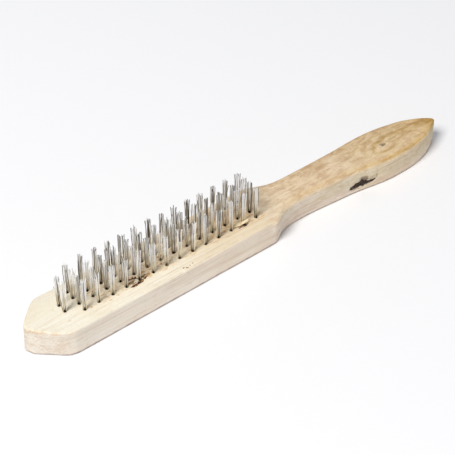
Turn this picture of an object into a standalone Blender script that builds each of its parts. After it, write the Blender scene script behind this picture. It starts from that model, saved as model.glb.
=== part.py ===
"""Wooden-handled wire scratch brush: one board with a nose, a head drilled with blind holes,
a waisted handle, and a steel wire tuft stapled into every hole.

Metres, +Z up. The brush lies on its back: the flat back of the board is z = 0, the bristles
point up. +X runs from the nose to the tip of the handle, and -Y is the user's near side.
The origin is under the middle of the whole brush."""

import math
import random

import bmesh
import bpy

MM = 0.001

# ---- driving dimensions -------------------------------------------------------------------
LENGTH = 297.0 * MM  # nose to handle tip
HEAD_WIDTH = 35.0 * MM
THICKNESS = 16.8 * MM
HEAD_EDGE_R = 0.8 * MM  # sanded corner along the head
HANDLE_EDGE_R = 3.4 * MM  # rounded corner along the handle
TIP_EDGE_R = 1.3 * MM  # tighter corner at the tip of the handle
SHOULDER_FROM, SHOULDER_TO = 158.0 * MM, 180.0 * MM  # where the corner grows, from the nose
TIP_FROM, TIP_TO = 268.0 * MM, 293.0 * MM  # where it tightens again

TUFT_PITCH = 9.15 * MM  # along the brush
ROW_PITCH = 5.58 * MM  # across the brush
COLUMNS = 15
ROWS = "abcd"  # near side to far side
FIRST_COLUMN = 23.6 * MM  # from the nose tip
FIELD_SHIFT_Y = 1.46 * MM  # the drilled field sits a little to the far side
FIRST_COLUMN_ROWS = "bc"  # the nose column holds only the two middle rows

HOLE_R = 1.40 * MM
HOLE_DEPTH = 10.5 * MM
DRILL_POINT = 0.8 * MM
HOLE_SIDES = 8

BRISTLE = 22.0 * MM  # free length of the longest wires
ROOT_R = 0.98 * MM  # bundle inside its hole
WIRES_ACROSS = 3  # wires stand in rows of this many
WIRE_SPACE = 0.26 * MM  # between wires where they leave the root
TIP_SPREAD = 1.9  # how much wider the bundle is at its tips
GAP = 0.30 * MM
ANCHOR = (0.98 * MM, 0.34 * MM)  # half length and half thickness of the staple's edge
ANCHOR_HEIGHT = 1.1 * MM
SETTING_SEED = 7

# Plan of the board, as ordinates (distance from the nose tip, y) in millimetres. The board is
# cut by hand, so the handle drifts to the near side by about 4 mm towards its tip.
NOSE_TIP = (0.0, 1.7)
NOSE_FAR = ((0.7, 3.1), (2.4, 4.8), (8.0, 9.8), (13.4, 14.3), (16.0, 16.2), (19.4, 17.3))
NOSE_NEAR = ((0.5, 0.3), (1.8, -1.9), (7.4, -9.3), (12.0, -13.5), (15.4, -16.0), (19.4, -17.3))
HEAD_FROM, HEAD_TO = 23.0, 155.0
HANDLE_FAR = (
    (159.0, 17.4), (164.0, 16.6), (169.0, 15.0), (175.5, 13.0), (183.0, 11.9), (194.0, 11.6),
    (207.0, 11.6), (225.0, 11.8), (243.0, 12.5), (253.0, 12.4), (262.0, 11.5), (271.0, 9.7),
    (279.0, 7.2), (286.0, 3.7), (291.5, 0.4), (295.2, -2.5), (296.6, -4.0),
)
HANDLE_TIP = (297.0, -5.2)
HANDLE_NEAR = (
    (158.5, -17.3), (162.0, -15.8), (166.0, -13.4), (171.5, -11.5), (179.0, -10.8),
    (190.0, -10.9), (206.0, -12.0), (225.0, -13.7), (238.0, -15.8), (249.0, -17.3),
    (257.5, -17.5), (267.0, -17.2), (276.0, -15.9), (284.0, -13.5), (291.0, -9.9),
    (295.2, -7.4), (296.6, -6.3),
)
CURVE_STEPS = 2  # straight pieces between two ordinates
CORNER_STEPS = 3  # straight pieces round a rounded corner


# ---- small helpers ------------------------------------------------------------------------
def clear_scene():
    for obj in list(bpy.data.objects):
        bpy.data.objects.remove(obj, do_unlink=True)


def principled(name, colour, roughness, metallic):
    material = bpy.data.materials.new(name)
    material.use_nodes = True
    shader = material.node_tree.nodes["Principled BSDF"]
    shader.inputs["Base Color"].default_value = (*colour, 1.0)
    shader.inputs["Roughness"].default_value = roughness
    shader.inputs["Metallic"].default_value = metallic
    return material


def new_object(name, bm, material, parent):
    bmesh.ops.recalc_face_normals(bm, faces=bm.faces)
    mesh = bpy.data.meshes.new(name)
    bm.to_mesh(mesh)
    bm.free()
    mesh.materials.append(material)
    obj = bpy.data.objects.new(name, mesh)
    bpy.context.scene.collection.objects.link(obj)
    obj.parent = parent
    return obj


def smooth_through(points, steps):
    """A smooth open line through the points (centripetal Catmull-Rom), ends kept."""
    result = []
    for i in range(len(points) - 1):
        p1, p2 = points[i], points[i + 1]
        p0 = points[i - 1] if i else (2 * p1[0] - p2[0], 2 * p1[1] - p2[1])
        p3 = points[i + 2] if i + 2 < len(points) else (2 * p2[0] - p1[0], 2 * p2[1] - p1[1])
        knots = [0.0]
        for a, b in ((p0, p1), (p1, p2), (p2, p3)):
            knots.append(knots[-1] + max(math.dist(a, b), 1e-6) ** 0.5)
        for k in range(steps):
            t = knots[1] + (knots[2] - knots[1]) * k / steps

            def blend(a, b, ta, tb):
                w = (t - ta) / (tb - ta)
                return (a[0] + (b[0] - a[0]) * w, a[1] + (b[1] - a[1]) * w)

            a1 = blend(p0, p1, knots[0], knots[1])
            a2 = blend(p1, p2, knots[1], knots[2])
            a3 = blend(p2, p3, knots[2], knots[3])
            b1 = blend(a1, a2, knots[0], knots[2])
            b2 = blend(a2, a3, knots[1], knots[3])
            result.append(blend(b1, b2, knots[1], knots[2]))
    result.append(points[-1])
    return result


def board_outline():
    """The plan of the board, anticlockwise seen from above, in metres about the origin."""
    half = HEAD_WIDTH / MM / 2
    near = (
        [NOSE_TIP, *NOSE_NEAR, (HEAD_FROM, -half)],
        [(HEAD_TO, -half), *HANDLE_NEAR, HANDLE_TIP],
    )
    far = (
        [HANDLE_TIP, *reversed(HANDLE_FAR), (HEAD_TO, half)],
        [(HEAD_FROM, half), *reversed(NOSE_FAR), NOSE_TIP],
    )
    line = []
    for part in (*near, *far):
        piece = smooth_through(part, CURVE_STEPS)
        line += piece if part[0] != (line[-1] if line else None) else piece[1:]
    line.pop()  # the nose tip again
    return [(x * MM - LENGTH / 2, y * MM) for x, y in line]


def corner_radius(x):
    """The rounded corner grows from the head's to the handle's across the shoulders, and
    tightens again towards the tip."""

    def ramp(low, high):
        t = min(max((x + LENGTH / 2 - low) / (high - low), 0.0), 1.0)
        return t * t * (3 - 2 * t)

    r = HEAD_EDGE_R + (HANDLE_EDGE_R - HEAD_EDGE_R) * ramp(SHOULDER_FROM, SHOULDER_TO)
    return r + (TIP_EDGE_R - r) * ramp(TIP_FROM, TIP_TO)


def inward_normals(line):
    result = []
    for i in range(len(line)):
        (ax, ay), (bx, by) = line[i - 1], line[(i + 1) % len(line)]
        length = math.hypot(bx - ax, by - ay)
        result.append((-(by - ay) / length, (bx - ax) / length))
    return result


def board_mesh():
    line = board_outline()
    normals = inward_normals(line)
    bm = bmesh.new()
    rings = []
    quarter = [math.pi / 2 * k / CORNER_STEPS for k in range(CORNER_STEPS + 1)]
    for top in (False, True):
        for angle in reversed(quarter) if top else quarter:
            # angle 0 is on the flat face, a quarter turn is on the side wall
            ring = []
            for (x, y), (nx, ny) in zip(line, normals):
                r = corner_radius(x)
                inset = r * (1 - math.sin(angle))
                height = r * (1 - math.cos(angle))
                z = THICKNESS - height if top else height
                ring.append(bm.verts.new((x + nx * inset, y + ny * inset, z)))
            rings.append(ring)
    for lower, upper in zip(rings, rings[1:]):
        for i in range(len(lower)):
            j = (i + 1) % len(lower)
            bm.faces.new((lower[i], lower[j], upper[j], upper[i]))
    bm.faces.new(list(reversed(rings[0])))
    bm.faces.new(rings[-1])
    return bm


def tuft_places():
    """(row letter, column number, x, y) of every drilled hole."""
    for column in range(1, COLUMNS + 1):
        for index, row in enumerate(ROWS):
            if column == 1 and row not in FIRST_COLUMN_ROWS:
                continue
            x = FIRST_COLUMN - LENGTH / 2 + (column - 1) * TUFT_PITCH
            y = FIELD_SHIFT_Y + (index - (len(ROWS) - 1) / 2) * ROW_PITCH
            yield row, column, x, y


def drill_mesh():
    """Every blind hole's cutter: a cylinder that stands out of the face, with a drill point."""
    bm = bmesh.new()
    over = 2.0 * MM
    for _, _, x, y in tuft_places():
        low, high = [], []
        for k in range(HOLE_SIDES):
            a = 2 * math.pi * (k + 0.5) / HOLE_SIDES
            px, py = x + HOLE_R * math.cos(a), y + HOLE_R * math.sin(a)
            low.append(bm.verts.new((px, py, THICKNESS - HOLE_DEPTH)))
            high.append(bm.verts.new((px, py, THICKNESS + over)))
        point = bm.verts.new((x, y, THICKNESS - HOLE_DEPTH - DRILL_POINT))
        for k in range(HOLE_SIDES):
            m = (k + 1) % HOLE_SIDES
            bm.faces.new((low[k], low[m], high[m], high[k]))
            bm.faces.new((low[m], low[k], point))
        bm.faces.new(high)
    return bm


def tuft_mesh(rng):
    """A bundle of wires bent double round its staple, with its foot at the origin: the staple's
    edge at the bottom, the round root packed tight in the hole, and the separate wires that
    stand out of it, fan a little and end at uneven heights."""
    bm = bmesh.new()
    mouth = HOLE_DEPTH - GAP
    across = WIRES_ACROSS

    def on_disc(i, j, rx, ry):
        u, v = 2 * i / across - 1, 2 * j / across - 1
        return rx * u * math.sqrt(1 - v * v / 2), ry * v * math.sqrt(1 - u * u / 2)

    cap = {
        (i, j): bm.verts.new((*on_disc(i, j, ROOT_R, ROOT_R), mouth))
        for i in range(across + 1)
        for j in range(across + 1)
    }
    rim = (
        [(i, 0) for i in range(across)]
        + [(across, j) for j in range(across)]
        + [(i, across) for i in range(across, 0, -1)]
        + [(0, j) for j in range(across, 0, -1)]
    )
    foot, waist = [], []
    for i, j in rim:
        foot.append(bm.verts.new((*on_disc(i, j, *ANCHOR), 0.0)))
        waist.append(bm.verts.new((*on_disc(i, j, ROOT_R, ROOT_R), ANCHOR_HEIGHT)))
    top = [cap[key] for key in rim]
    for lower, upper in ((foot, waist), (waist, top)):
        for k in range(len(rim)):
            m = (k + 1) % len(rim)
            bm.faces.new((lower[k], lower[m], upper[m], upper[k]))
    bm.faces.new(list(reversed(foot)))
    cells = [
        bm.faces.new((cap[i, j], cap[i + 1, j], cap[i + 1, j + 1], cap[i, j + 1]))
        for j in range(across)
        for i in range(across)
    ]
    bm.normal_update()
    bmesh.ops.inset_individual(bm, faces=cells, thickness=WIRE_SPACE / 2, use_even_offset=True)
    tips = bmesh.ops.extrude_discrete_faces(bm, faces=cells)["faces"]

    lean = (rng.uniform(-0.8, 0.8) * MM, rng.uniform(-0.8, 0.8) * MM)
    longest = rng.randrange(len(tips))
    for index, face in enumerate(tips):
        centre = face.calc_center_median()
        stray = (rng.uniform(-0.28, 0.28) * MM, rng.uniform(-0.28, 0.28) * MM)
        short = 0.0 if index == longest else rng.uniform(0.0, 1.6) * MM
        for vert in face.verts:
            offset = vert.co - centre
            for axis in (0, 1):
                vert.co[axis] = centre[axis] * TIP_SPREAD + lean[axis] + stray[axis]
                vert.co[axis] += offset[axis]
            vert.co[2] = mouth + BRISTLE - short
    return bm


# ---- the brush ----------------------------------------------------------------------------
clear_scene()

wood = principled("pale_wood", (0.82, 0.68, 0.50), 0.75, 0.0)
steel = principled("steel_wire", (0.55, 0.55, 0.56), 0.35, 1.0)

brush = bpy.data.objects.new("brush", None)
bpy.context.scene.collection.objects.link(brush)

body = new_object("wooden_body", board_mesh(), wood, brush)
drill = new_object("drilling_pattern", drill_mesh(), wood, brush)
drill.hide_render = True
drill.display_type = "WIRE"
cut = body.modifiers.new("drilled_holes", "BOOLEAN")
cut.operation = "DIFFERENCE"
cut.solver = "EXACT"
cut.object = drill
body.data.shade_smooth()
body.data.set_sharp_from_angle(angle=math.radians(40))

rng = random.Random(SETTING_SEED)
for row, column, x, y in tuft_places():
    tuft = new_object(f"wire_tuft_{row}{column:02d}", tuft_mesh(rng), steel, brush)
    tuft.location = (x, y, THICKNESS - HOLE_DEPTH + GAP)
    tuft.data.shade_smooth()
    tuft.data.set_sharp_from_angle(angle=math.radians(50))
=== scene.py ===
import math
import random

import bmesh
import bpy
import numpy as np
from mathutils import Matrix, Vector
from mathutils.geometry import delaunay_2d_cdt


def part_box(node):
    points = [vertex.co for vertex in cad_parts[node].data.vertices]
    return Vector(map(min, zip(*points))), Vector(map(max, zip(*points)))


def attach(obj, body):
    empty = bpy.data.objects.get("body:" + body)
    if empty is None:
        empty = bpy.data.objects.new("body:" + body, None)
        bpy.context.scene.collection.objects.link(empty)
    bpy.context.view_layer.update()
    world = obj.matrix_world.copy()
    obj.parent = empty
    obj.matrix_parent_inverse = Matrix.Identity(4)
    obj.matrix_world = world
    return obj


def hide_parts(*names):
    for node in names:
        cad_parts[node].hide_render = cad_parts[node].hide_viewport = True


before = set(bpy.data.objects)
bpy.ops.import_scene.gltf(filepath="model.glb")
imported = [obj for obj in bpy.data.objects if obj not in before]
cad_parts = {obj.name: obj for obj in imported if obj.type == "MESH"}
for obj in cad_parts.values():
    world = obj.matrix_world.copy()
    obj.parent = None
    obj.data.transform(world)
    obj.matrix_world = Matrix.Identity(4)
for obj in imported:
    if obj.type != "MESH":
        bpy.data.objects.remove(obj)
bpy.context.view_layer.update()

MM = 0.001

# ---- what the CAD says --------------------------------------------------------------------
body_lo, body_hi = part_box("wooden_body")
LENGTH = (body_hi.x - body_lo.x) / MM
THICK = (body_hi.z - body_lo.z) / MM
HALF_W = (body_hi.y - body_lo.y) / MM / 2
X0 = body_lo.x / MM  # the nose tip
TUFTS = {}  # "a02" -> centre of its hole, in mm
for node in sorted(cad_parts):
    if node.startswith("wire_tuft_"):
        row, col = node[-3], int(node[-2:])
        TUFTS[node[-3:]] = [node, row, col]
ROW_Y = {}
COLUMN_FROM, PITCH, ROW_PITCH, FIELD_Y = 23.6, 9.15, 5.58, 1.46
for key, (node, row, col) in TUFTS.items():
    TUFTS[key] = (
        node,
        row,
        col,
        X0 + COLUMN_FROM + (col - 1) * PITCH,
        FIELD_Y + ("abcd".index(row) - 1.5) * ROW_PITCH,
    )
TUFT_TOP = max(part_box(t[0])[1].z for t in TUFTS.values()) / MM
HOLE_R, HOLE_DEPTH = 1.06, 10.5
HOLES = np.array([(t[3], t[4]) for t in TUFTS.values()])


# ---- numpy noise --------------------------------------------------------------------------
def _hash(ix, iy, iz, seed):
    n = (
        ix.astype(np.int64) * 374761393
        + iy.astype(np.int64) * 668265263
        + iz.astype(np.int64) * 2147483647
        + seed * 1274126177
    ) & 0xFFFFFFFF
    n = ((n ^ (n >> 13)) * 1274126177) & 0xFFFFFFFF
    n = ((n ^ (n >> 16)) * 668265263) & 0xFFFFFFFF
    n = n ^ (n >> 15)
    return (n & 0xFFFFFF) / float(0x7FFFFF) - 1.0


def noise(x, y, z, seed=0):
    """Smooth value noise, about -1 to 1."""
    x, y, z = np.broadcast_arrays(np.asarray(x, float), np.asarray(y, float), np.asarray(z, float))
    fx, fy, fz = np.floor(x), np.floor(y), np.floor(z)
    tx, ty, tz = x - fx, y - fy, z - fz
    tx, ty, tz = (t * t * t * (t * (t * 6 - 15) + 10) for t in (tx, ty, tz))
    out = 0
    for dx in (0, 1):
        wx = tx if dx else 1 - tx
        for dy in (0, 1):
            wy = ty if dy else 1 - ty
            for dz in (0, 1):
                wz = tz if dz else 1 - tz
                out = out + wx * wy * wz * _hash(fx + dx, fy + dy, fz + dz, seed)
    return out


def fbm(x, y, z, octaves=4, seed=0, gain=0.5):
    out, amp, total = 0, 1.0, 0.0
    for k in range(octaves):
        s = 2.03**k
        out = out + amp * noise(np.asarray(x) * s, np.asarray(y) * s, np.asarray(z) * s, seed + 17 * k)
        total += amp
        amp *= gain
    return out / total


def smooth(a, b, t):
    t = np.clip((np.asarray(t, float) - a) / (b - a), 0, 1)
    return t * t * (3 - 2 * t)


# ---- the board's plan, as in the CAD ------------------------------------------------------
NOSE_TIP = (0.0, 1.7)
NOSE_FAR = ((0.5, 3.4), (1.6, 5.2), (6.6, 10.3), (11.9, 15.0), (14.7, 16.8), (18.4, 17.7))
NOSE_NEAR = ((0.5, 0.3), (1.8, -1.9), (7.4, -9.3), (12.0, -13.5), (15.4, -16.0), (19.4, -17.3))
HEAD_FROM, HEAD_TO = 23.0, 155.0
HANDLE_FAR = (
    (159.0, 17.4), (164.0, 16.6), (169.0, 15.0), (175.5, 13.0), (183.0, 11.9), (194.0, 11.6),
    (207.0, 11.6), (225.0, 11.8), (243.0, 12.5), (253.0, 12.4), (262.0, 11.5), (271.0, 9.7),
    (279.0, 7.2), (286.0, 3.7), (291.5, 0.4), (295.2, -2.5), (296.6, -4.0),
)
HANDLE_TIP = (297.0, -5.2)
HANDLE_NEAR = (
    (158.5, -17.3), (162.0, -15.8), (166.0, -13.4), (171.5, -11.5), (179.0, -10.8),
    (190.0, -10.9), (206.0, -12.0), (225.0, -13.7), (238.0, -15.8), (249.0, -17.3),
    (257.5, -17.5), (267.0, -17.2), (276.0, -15.9), (284.0, -13.5), (291.0, -9.9),
    (295.2, -7.4), (296.6, -6.3),
)


def smooth_through(points, steps):
    result = []
    for i in range(len(points) - 1):
        p1, p2 = points[i], points[i + 1]
        p0 = points[i - 1] if i else (2 * p1[0] - p2[0], 2 * p1[1] - p2[1])
        p3 = points[i + 2] if i + 2 < len(points) else (2 * p2[0] - p1[0], 2 * p2[1] - p1[1])
        knots = [0.0]
        for a, b in ((p0, p1), (p1, p2), (p2, p3)):
            knots.append(knots[-1] + max(math.dist(a, b), 1e-6) ** 0.5)
        for k in range(steps):
            t = knots[1] + (knots[2] - knots[1]) * k / steps

            def mix(a, b, ta, tb):
                w = (t - ta) / (tb - ta)
                return (a[0] + (b[0] - a[0]) * w, a[1] + (b[1] - a[1]) * w)

            a1 = mix(p0, p1, knots[0], knots[1])
            a2 = mix(p1, p2, knots[1], knots[2])
            a3 = mix(p2, p3, knots[2], knots[3])
            b1 = mix(a1, a2, knots[0], knots[2])
            b2 = mix(a2, a3, knots[1], knots[3])
            result.append(mix(b1, b2, knots[1], knots[2]))
    result.append(points[-1])
    return result


def board_outline(spacing):
    """Anticlockwise plan, in mm in the row frame, with points this far apart."""
    half = HALF_W
    parts = (
        [NOSE_TIP, *NOSE_NEAR, (HEAD_FROM, -half)],
        [(HEAD_TO, -half), *HANDLE_NEAR, HANDLE_TIP],
        [HANDLE_TIP, *reversed(HANDLE_FAR), (HEAD_TO, half)],
        [(HEAD_FROM, half), *reversed(NOSE_FAR), NOSE_TIP],
    )
    line = []
    for part in parts:
        piece = smooth_through(part, 24)
        line += piece if not line or math.dist(piece[0], line[-1]) > 1e-6 else piece[1:]
    line = np.array(line)
    seg = np.hypot(*np.diff(line, axis=0).T)
    s = np.concatenate([[0], np.cumsum(seg)])
    n = int(round(s[-1] / spacing))
    t = np.linspace(0, s[-1], n, endpoint=False)
    out = np.stack([np.interp(t, s, line[:, 0]), np.interp(t, s, line[:, 1])], 1)
    out[:, 0] += X0
    return out


def corner_radius(s, head=0.8):
    """s is the distance from the nose tip."""
    r = head + (3.4 - head) * smooth(158, 180, s)
    return r + (1.3 - r) * smooth(268, 293, s)


def edges_at(x):
    """(near y, far y) of the plan at x, in mm."""
    return np.interp(x, *EDGE_NEAR), np.interp(x, *EDGE_FAR)


OUTLINE = board_outline(0.62)
_tip = OUTLINE[:, 0].argmax()
_near, _far = OUTLINE[: _tip + 1], OUTLINE[_tip:]
EDGE_NEAR = (_near[:, 0], _near[:, 1])
EDGE_FAR = (_far[::-1, 0], _far[::-1, 1])


# ---- features of the wood, in mm in the row frame -----------------------------------------
# torn, dark grooves in the head: (x, y) from, (x, y) to, half width, depth
GROOVES = (
    ((-86.3, -3.0), (-79.0, -3.9), 1.0, 1.0),
    ((-86.4, -8.8), (-75.0, -7.4), 1.15, 1.3),
    ((-80.5, -5.0), (-71.8, -6.9), 0.95, 1.0),
    ((-88.0, -6.2), (-82.0, -5.4), 0.75, 0.7),
    ((-77.5, -3.3), (-73.5, -3.0), 0.6, 0.6),
    ((-33.0, 1.2), (-29.5, 1.5), 0.55, 0.6),
    ((-60.6, 1.3), (-57.5, 1.0), 0.5, 0.6),
    ((-15.5, 6.6), (-12.6, 7.0), 0.5, 0.6),
    ((-105.6, 1.3), (-102.9, 1.7), 0.45, 0.5),
)
SCRATCHES = (
    ((-56.2, -14.3), (-53.0, -15.3), 0.26, 0.25),
    ((-54.0, -16.0), (-50.0, -15.0), 0.22, 0.22),
    ((-51.4, -14.0), (-48.4, -14.7), 0.20, 0.2),
)
# the splinter's hollow is a dent, and is also painted near black as the shadow under the lifted splinter
SPLIT = ((-10.6, -8.4), (-3.2, -8.2), 0.85, 1.5)  # hollow that the lifted splinter left
KNOT = (105.8, -4.4, 1.95)  # on the top of the handle
# bark pocket in the near side of the handle: (x, z, half height)
POCKET = (
    (72.9, 4.6, 0.85), (74.4, 5.0, 1.10), (76.2, 5.2, 1.30), (78.0, 5.6, 1.50), (79.8, 5.9, 1.75),
    (81.6, 5.6, 1.60), (83.4, 5.2, 1.20), (85.2, 4.9, 0.90), (87.2, 4.9, 0.65), (89.6, 5.5, 0.40),
)
# darker growth-ring figure on the handle's end: (x, y) along each line, its half width and strength
FIGURE = (
    (((96.4, -7.5), (97.6, -4.6), (100.7, -2.1), (107.6, -0.2), (116.4, 0.3), (124.0, -0.7), (133.9, -1.0), (141.8, -3.5)), 1.55, 0.66),
    (((96.4, -7.5), (98.6, -9.2), (103.0, -10.3), (110.0, -9.4), (116.5, -6.6), (123.6, -4.6), (132.0, -3.9), (139.0, -4.2)), 1.45, 0.50),
    (((90.0, -6.0), (92.0, -1.0), (97.0, 2.4), (106.0, 4.4), (116.0, 4.6), (126.0, 2.9)), 1.40, 0.32),
    (((110.0, -4.6), (114.0, -2.7), (121.0, -2.5), (128.0, -2.8)), 1.5, 0.42),
    (((84.0, -5.0), (86.0, 0.6), (92.0, 5.0), (101.0, 7.4)), 1.2, 0.28),
)


def near_segment(x, y, a, b):
    """(distance to the line from a to b, how far along it from 0 to 1)."""
    ax, ay = a
    dx, dy = b[0] - ax, b[1] - ay
    length2 = dx * dx + dy * dy
    t = np.clip(((x - ax) * dx + (y - ay) * dy) / length2, 0, 1)
    return np.hypot(x - ax - t * dx, y - ay - t * dy), t


def groove_mask(x, y, groove, rough=0.35):
    a, b, half, _ = groove
    d, t = near_segment(x, y, a, b)
    width = half * np.sqrt(np.clip(4 * t * (1 - t), 0.02, 1)) * (1 + rough * 2.4 * noise(x * 1.3, y * 2.6, 0, 91))
    return np.clip(1 - d / np.maximum(width, 0.05), 0, 1)


def pocket_mask(x, y, z):
    """The ragged bark pocket on the near side wall of the handle: 1 in its middle."""
    near, _ = edges_at(x)
    on_side = smooth(3.0, 1.0, y - near)
    best = np.zeros(len(x))
    wob = 1 + 0.95 * fbm(x * 0.75, z * 1.1, 3.3, 4, 44)
    for (xa, za, wa), (xb, zb, wb) in zip(POCKET, POCKET[1:]):
        d, t = near_segment(x, z, (xa, za), (xb, zb))
        best = np.maximum(best, 1.3 - d / (1.45 * (wa + (wb - wa) * t) * wob))
    return np.clip(best, 0, 1) * on_side


def bark_stain(x, y, z):
    """Reddish bark left above the pocket."""
    near, _ = edges_at(x)
    e = np.hypot((x - 81.6) / 3.9, (z - 8.1) / 2.7) + 0.35 * fbm(x * 0.5, z * 0.7, 1.0, 3, 46)
    e2 = np.hypot((x - 77.0) / 2.6, (z - 4.4) / 1.2) + 0.3 * fbm(x * 0.5, z * 0.7, 2.0, 3, 47)
    e3 = np.hypot((x - 87.8) / 2.3, (z - 7.3) / 1.3) + 0.3 * fbm(x * 0.5, z * 0.7, 5.0, 3, 43)
    e4 = np.hypot((x - 90.9) / 0.8, (z - 7.8) / 2.2)
    mark = np.maximum(smooth(1.15, 0.45, e), 0.42 * smooth(1.15, 0.45, e2))
    mark = np.maximum(mark, 0.5 * smooth(1.15, 0.45, e4))
    mark = np.maximum(mark, 0.38 * smooth(1.15, 0.45, e3))
    return mark * smooth(3.0, 1.0, y - near)



def figure_mask(x, y):
    total = np.zeros(len(x))
    wob = 1 + 0.5 * fbm(x / 5, y / 3, 0, 3, 48)
    for line, half, strength in FIGURE:
        best = np.full(len(x), 99.0)
        for a, b in zip(line, line[1:]):
            best = np.minimum(best, near_segment(x, y, a, b)[0])
        total = np.maximum(total, strength * np.exp(-((best / (half * wob)) ** 2)))
    return total


def knot_distance(x, y):
    kx, ky, r = KNOT
    u, v = x - kx, y - ky
    return np.hypot((0.95 * u + 0.3 * v) / 1.25, -0.3 * u + 0.95 * v) / r


def ring_field(x, y, z, up):
    """Growth rings, in mm: nearly straight along the board, on its faces as on its walls."""
    near, far = edges_at(x)
    middle = (near + far) / 2
    s = x - X0
    top = 0.62 * (y - 0.55 * middle * smooth(150, 190, s)) + 0.010 * s
    wall = 0.95 * z + 0.006 * s
    kd = knot_distance(x, y)
    top = top + 2.2 * np.exp(-((kd / 3.0) ** 2)) * np.sign(y - KNOT[1] + 0.01)
    wander = 1.5 * fbm(x / 80, y / 20, z / 30, 3, 5) + 0.30 * fbm(x / 12, y / 3, z / 3, 2, 8)
    return wall + (top + 8 - wall) * up + wander


# ---- the board ----------------------------------------------------------------------------
def inward(line):
    ahead, behind = np.roll(line, -1, 0), np.roll(line, 1, 0)
    d = ahead - behind
    d /= np.hypot(*d.T)[:, None]
    return np.stack([-d[:, 1], d[:, 0]], 1)


def cap(ring_xy, holes, spacing):
    """Triangles that fill the ring (with round openings), as (points, triangles, first index
    of each hole's rim). The ring's own points come first."""
    n = len(ring_xy)
    lo, hi = ring_xy.min(0), ring_xy.max(0)
    ys = np.arange(lo[1], hi[1], spacing * 0.866)
    rows = []
    for k, yy in enumerate(ys):
        xs = np.arange(lo[0] + (k % 2) * spacing / 2, hi[0], spacing)
        rows.append(np.stack([xs, np.full(len(xs), yy)], 1))
    grid = np.concatenate(rows)
    r = np.random.RandomState(3)
    grid = grid + r.uniform(-0.12, 0.12, grid.shape) * spacing
    # inside the ring: between the near and the far edge at that x, kept off both
    tip = ring_xy[:, 0].argmax()
    near, far = ring_xy[: tip + 1], ring_xy[tip:]
    yn = np.interp(grid[:, 0], near[:, 0], near[:, 1])
    yf = np.interp(grid[:, 0], far[::-1, 0], far[::-1, 1])
    keep = (grid[:, 1] > yn + 0.5 * spacing) & (grid[:, 1] < yf - 0.5 * spacing)
    grid = grid[keep]
    points = [ring_xy]
    edges = [(i, (i + 1) % n) for i in range(n)]
    first = []
    base = n
    if len(holes):
        d = np.hypot(grid[:, None, 0] - holes[None, :, 0], grid[:, None, 1] - holes[None, :, 1]).min(1)
        grid = grid[d > HOLE_R + 0.95]
        for hx, hy in holes:
            first.append(base)
            for radius, count in ((HOLE_R, HOLE_N), (HOLE_R + 0.22, HOLE_N), (HOLE_R + 0.55, HOLE_N)):
                a = 2 * math.pi * (np.arange(count) + (0.5 if radius > HOLE_R + 0.1 else 0)) / count
                wob = 1 + (0.05 * noise(np.cos(a) * 1.7 + hx, np.sin(a) * 1.7 + hy, 0, 12) if radius > HOLE_R + 0.1 else 0.055 * noise(np.cos(a) * 1.5 + hx * 3, np.sin(a) * 1.5 + hy, 0, 13))
                points.append(np.stack([hx + radius * wob * np.cos(a), hy + radius * wob * np.sin(a)], 1))
                if radius == HOLE_R:
                    edges += [(base + i, base + (i + 1) % count) for i in range(count)]
                base += count
    points.append(grid)
    points = np.concatenate(points)
    result = delaunay_2d_cdt([Vector(p) for p in points.tolist()], edges, [], 0, 1e-6, True)
    verts = np.array([tuple(v) for v in result[0]])
    tris = np.array([f for f in result[2] if len(f) == 3])
    if len(verts) != len(points):
        raise RuntimeError("the cap's triangulation merged or added points")
    # the result may renumber: map each back to the point it came from
    origin = np.array([o[0] for o in result[3]])
    tris = origin[tris]
    c = points[tris].mean(1)
    yn = np.interp(c[:, 0], near[:, 0], near[:, 1])
    yf = np.interp(c[:, 0], far[::-1, 0], far[::-1, 1])
    ok = (c[:, 1] > yn) & (c[:, 1] < yf)
    if len(holes):
        for f, (hx, hy) in zip(first, holes):
            inside = ((tris >= f) & (tris < f + HOLE_N)).all(1)
            ok &= ~inside
    tris = tris[ok]
    p = points[tris]
    area = (p[:, 1, 0] - p[:, 0, 0]) * (p[:, 2, 1] - p[:, 0, 1]) - (p[:, 2, 0] - p[:, 0, 0]) * (p[:, 1, 1] - p[:, 0, 1])
    tris[area < 0] = tris[area < 0][:, ::-1]
    return points, tris, first


HOLE_N = 20


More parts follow.
